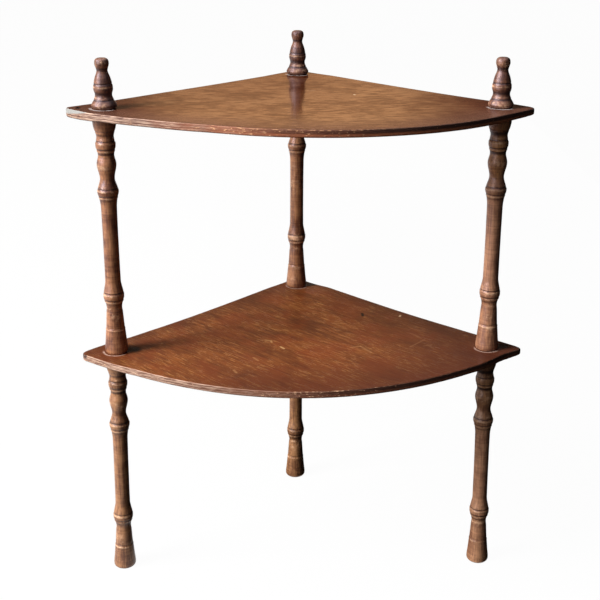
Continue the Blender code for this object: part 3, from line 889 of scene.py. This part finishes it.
def finish_top_face():
    """Golden brown stain over a wavy rotary-cut face, whose figure runs from side to side, with
    painted shade darkening its right part.
    """
    material, shader, place = new_material("top_shelf_varnish")
    figure, fine = (
        use(GRAIN, {"Vector": stretched(place, TOP_GRAIN, (15, width, width))})["Streaks"]
        for width in (6, 2.2))
    blotch = clouds(place, 16.0, 3.0, 0.55, 0.4)
    tone = weighted(0.0, (blotch, 0.25), (fine, 0.50), (figure, 0.25))
    colour = mixed(fade(tone, 0.38, 0.62), srgb(68, 24, 11), srgb(118, 59, 28))
    gold = times(fade(fine, 0.52, 0.66), fade(figure, 0.42, 0.58))
    across = put("SeparateXYZ", {0: place})[0]
    wall = fade(attribute(material, "wall_inset"), 0.0, 0.030, 0.55, 0.0)
    front = times(fade(attribute(material, "front_inset"), 0.0, 0.065, 0.85, 0.0),
                  fade(blotch, 0.30, 0.6, 0.5, 1.0))
    colour = layered(
        colour, (gold, (164, 104, 54), 0.42),
        # Painted shade: the right part is darkened.
        (fade(across, 0.07, 0.17, 0.0, 0.55), (92, 42, 28)),
        (fade(across, -0.21, -0.13, 0.55, 0.0), (86, 46, 32)),
        (wall, (84, 42, 26)), (front, (112, 76, 62)))
    upper = fade(attribute(material, "ply"), 0.4, 0.6)
    # The painted shadow beside each foot and the pale ring round it, part scuff and part painted
    # highlight
    used = round_the_feet(place, colour, 0.0156, (226, 216, 214), 0.85)
    under = layered(colour, (0.5, (150, 100, 68)))
    rough = calc("MAXIMUM", weighted(0.05, (figure, 0.24), (front, 0.14)),
                 fade(upper, 0.0, 1.0, 0.6, 0.0))
    glaze = weighted(0.0, (blotch, 0.3), (figure, 0.35), (fine, 0.35))
    glaze = times(fade(glaze, 0.42, 0.58, 0.32, 1.0), fade(front, 0.0, 0.8, 1.0, 0.40))
    feed(shader, {
        "Base Color": mixed(upper, under, marked(place, used, TOP_MARKS)),
        "Roughness": rough,
        "Normal": relief(weighted(figure, (fine, 0.20)), 0.7, 0.0006),
        "Coat Weight": times(glaze, upper), "Coat Roughness": 0.11,
        "Specular IOR Level": 0.04})
    return material


def top_warp(x, y):
    """The top shelf is twisted: its left half stands about 1 mm high and its right half low at
    the front, and its right wall edge has risen a little."""
    twist = -0.0011 * np.clip(x / 0.15, -1, 1)
    return twist + near_walls(x, y) * np.interp(x, (-0.04, 0.04), (-0.0005, 0.0008))


def top_drift(x):
    """The drift on the cubic through TOP_DRIFT."""
    return cubic_through(TOP_DRIFT, x * 1000) / 1000


def top_swell(x, y):
    """0.6 mm along the front up to the right tip, and twice that more at the left tip, where the
    plies part."""
    front = at_front(y) * np.clip((0.215 - x) / 0.02, 0, 1)
    return 0.0006 * front + 0.0013 * np.clip((-x - 0.195) / 0.025, 0, 1)


top_shelf = board("plywood_top_shelf", TOP_BOTTOM, (0.0412, 0.0378), top_warp, top_drift,
                  top_swell, 7)
drill(top_shelf, [NAIL], TOP_BOTTOM + BOARD_THICKNESS / 2)
dress_board(top_shelf, finish_top_face(), finish_edge(
    "top_shelf_edge", bare=(192, 160, 140), seam=(100, 68, 56), film=(58, 31, 20),
    under_film=(156, 90, 58), chip=(218, 164, 120), bare_end=-0.05, chips_end=0.11,
    tip=(156, 154, 149), tip_end=-0.209, tip_slant=0.020, marks=[NAIL_DARK_MARK]))
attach(top_shelf, "root")
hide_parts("top_shelf")

# The upper dowel screws: the same steel screws, from a spindle up through the top shelf into
# the finial above it.
for side in POSTS:
    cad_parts["upper_dowel_screw_" + side].material_slots[0].material = SCREW_STEEL

# The finials: three short turnings of the same wood, with a bell, a bead, a pear and a ball,
# screwed down on the top shelf over the spindles.
FINIAL_HEIGHT = 50.0
FINIAL_BOTTOM = TOP_BOTTOM + BOARD_THICKNESS + SEAT_GAP
FINIAL_PROFILE = (
    (0.0, 11.1), (1.4, 12.3), (3.3, 12.7), (5.2, 11.8), (8.2, 10.1), (13.5, 8.42), (19.5, 9.72),
    (24.0, 9.15), (30.0, 7.80), (37.5, 5.45), (40.0, 6.05), (44.3, 7.12), (46.8, 6.85),
    (48.4, 6.05), (49.5, 4.40), (49.9, 2.5), (50.0, 0.0),
)
FINIAL_LEAN = {"left": (0.0007, 0.0), "right": (0.0, 0.0), "back": (0.0, 0.0)}
FINIAL_SCRIBES = ((8.2, 0.9, 0.26), (24.4, 0.9, 0.26))
FINIAL_LIPS = ((22.4, 0.9, 0.15),)
# Rubbed lines (above zero) and dirty ones (below) on a finial: height, half width and strength.
# They are partly painted light: highlights on the bell's ring and the bead, and shade at the
# foot, in the cove and in the neck under the ball.
FINIAL_LINES = ((1.5, 2.5, -0.5), (5.6, 1.5, 0.30), (8.4, 1.4, -0.9), (11.0, 1.5, 0.40),
                (14.8, 2.6, -0.9), (21.3, 1.7, 0.65), (24.4, 1.3, -0.9), (38.6, 2.2, -0.9),
                (42.5, 2.2, 0.25), (47.5, 3.0, -0.4))
FINIAL_WOOD = finish_turned_wood("finial_varnish", (58, 31, 21), (128, 84, 58), 0.37,
                                 (255, 232, 240))
FINIAL_SIDE = turned_side(FINIAL_PROFILE, FINIAL_SCRIBES, FINIAL_LIPS, FINIAL_HEIGHT)

for number, (side, post) in enumerate(POSTS.items()):
    finial = turning("turned_finial_" + side, FINIAL_SIDE, FINIAL_LINES, post, FINIAL_BOTTOM,
                     (True, False), FINIAL_LEAN[side], 31 + number)
    finial.data.materials.append(FINIAL_WOOD)
    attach(finial, "root")
    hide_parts("finial_" + side)

# The studio: a white floor that keeps a faint shadow, two soft lamps on the left, dark cloths
# that only keep light away, a golden card and a pale ceiling that only the varnish shows, and
# the camera of the photograph.
NEARLY_BLACK = (0.02, 0.018, 0.016, 1.0)
CARPET = 0.002
UNIT_MIDDLE = (0.0, 0.0, 0.3)


def seen_or_mirrored(tree):
    """1 for rays from the camera, and for those that the object mirrors or lets through."""
    seen = put("LightPath", {}, tree)
    return calc("MAXIMUM", seen["Is Camera Ray"], calc(
        "MAXIMUM", seen["Is Glossy Ray"], seen["Is Transmission Ray"]))


def finish_floor():
    """Matt white, mostly shining plain white to the camera so that the ground has no edge."""
    material, principled, _ = new_material("white_floor")
    tree = material.node_tree
    tree.nodes.remove(principled)
    tint = mixed(put("LightPath", {}, tree)["Is Camera Ray"], (0.25, 0.25, 0.25, 1.0),
                 (0.9, 0.9, 0.9, 1.0))
    matt = put("BsdfDiffuse", {"Color": tint})[0]
    white = put("Emission", {"Color": (1.0, 1.0, 1.0, 1.0)}, tree)[0]
    both = put("MixShader", {0: times(seen_or_mirrored(tree), 0.975), 1: matt, 2: white})[0]
    feed(tree.nodes["Material Output"], {"Surface": both})
    return material


def finish_card(name, colour, glow):
    """Cloth or card that takes light away or gives a little back, and that isn't in view."""
    material, shader, _ = new_material(name)
    feed(shader, {"Base Color": colour, "Roughness": 1.0, "Specular IOR Level": 0.0,
                  "Emission Color": colour, "Emission Strength": glow})
    return material


def finish_gold_card():
    """A card behind the unit that the boards' varnish shows: golden above, red-brown below, and
    dark at its ends."""
    material, shader, place = new_material("gold_card")
    parts = put("SeparateXYZ", {0: place})
    glow = mixed(fade(parts[2], 0.68, 0.96), (0.34, 0.13, 0.055, 1.0), (1.05, 0.58, 0.265, 1.0))
    off = calc("ABSOLUTE", calc("SUBTRACT", parts[0], 0.04))
    glow = mixed(fade(off, 0.23, 0.50), glow, (0.10, 0.045, 0.025, 1.0))
    feed(shader, {"Base Color": NEARLY_BLACK, "Roughness": 1.0, "Specular IOR Level": 0.0,
                  "Emission Color": glow, "Emission Strength": 1.0})
    return material


def flat_panel(name, low, high, material):
    """A rectangle square to the axes, from its low corner to its high one."""
    across, up = (axis for axis in range(3) if low[axis] != high[axis])
    corners = np.array([low] * 4, float)
    corners[1:3, across] = high[across]
    corners[2:, up] = high[up]
    mesh = bpy.data.meshes.new(name)
    mesh.from_pydata(corners, [], [(0, 1, 2, 3)])
    mesh.materials.append(material)
    panel = add_object(name, mesh)
    return panel


flat_panel("floor", (-9, -9, 0), (9, 9, 0), finish_floor())
BLACK_CLOTH = finish_card("black_cloth", NEARLY_BLACK, 0.0)
for name, low, high, material in (
    ("cloth_right", (0.80, -2.4, 0), (0.80, 2.4, 1.5), BLACK_CLOTH),
    ("cloth_front", (-1.9, -2.4, 0), (0.80, -2.4, 2.0), BLACK_CLOTH),
    ("carpet_front", (-1.9, -2.4, CARPET), (0.80, -0.3, CARPET), BLACK_CLOTH),
    ("carpet_right", (-0.16, -0.3, CARPET), (0.80, 1.7, CARPET), BLACK_CLOTH),
    ("flag_left", (-0.60, -0.13, 0.56), (-0.60, 0.70, 0.84), BLACK_CLOTH),
    ("card_back", (-1.2, 1.7, 0.50), (1.0, 1.7, 1.75), finish_gold_card()),
):
    panel = flat_panel(name, low, high, material)
    panel.visible_camera = False
    panel.visible_shadow = not name.startswith("carpet")

ceiling = flat_panel("ceiling", (-1.5, -1.3, 1.65), (0.5, 0.4, 1.65),
                     finish_card("pale_ceiling", (0.92, 0.88, 1.0, 1.0), 2.2))
ceiling.visible_camera = ceiling.visible_diffuse = ceiling.visible_shadow = False

world = bpy.data.worlds.new("studio")
bpy.context.scene.world = world
world.use_nodes = True
tree = world.node_tree
feed(tree.nodes["Background"], {
    "Color": (1.0, 1.0, 1.0, 1.0),
    "Strength": put("MapRange", {0: seen_or_mirrored(tree), 3: 0.10, 4: 1.0})[0]})


def soft_lamp(name, place, size, power):
    """A square area lamp at a place, turned to face the middle of the unit."""
    data = bpy.data.lights.new(name, "AREA")
    data.size, data.energy = size, power
    lamp = add_object(name, data)
    lamp.location = place
    away = np.array(place) - UNIT_MIDDLE
    away = away / np.linalg.norm(away)
    lamp.rotation_euler = (math.acos(away[2]), 0.0, math.atan2(away[1], away[0]) + math.pi / 2)


soft_lamp("window_left", (-2.56, -0.86, 1.90), size=1.35, power=190)
soft_lamp("fill_front", (-2.30, -2.40, 1.00), size=1.2, power=46)

lens = bpy.data.cameras.new("photograph")
lens.sensor_width = 36.0
lens.lens = 68.358
lens.shift_y = -0.0917
lens.clip_start, lens.clip_end = 0.05, 60.0
camera = add_object("photograph", lens)
camera.location = (-0.0393, -1.1822, 0.7486)
tilt_down, turn, roll = 18.252, -1.865, 0.197
camera.rotation_euler = (math.radians(90 - tilt_down), 0.0, math.radians(turn))
camera.rotation_euler.rotate_axis("Z", math.radians(roll))
bpy.context.scene.camera = camera
bpy.context.scene.view_settings.view_transform = "Standard"
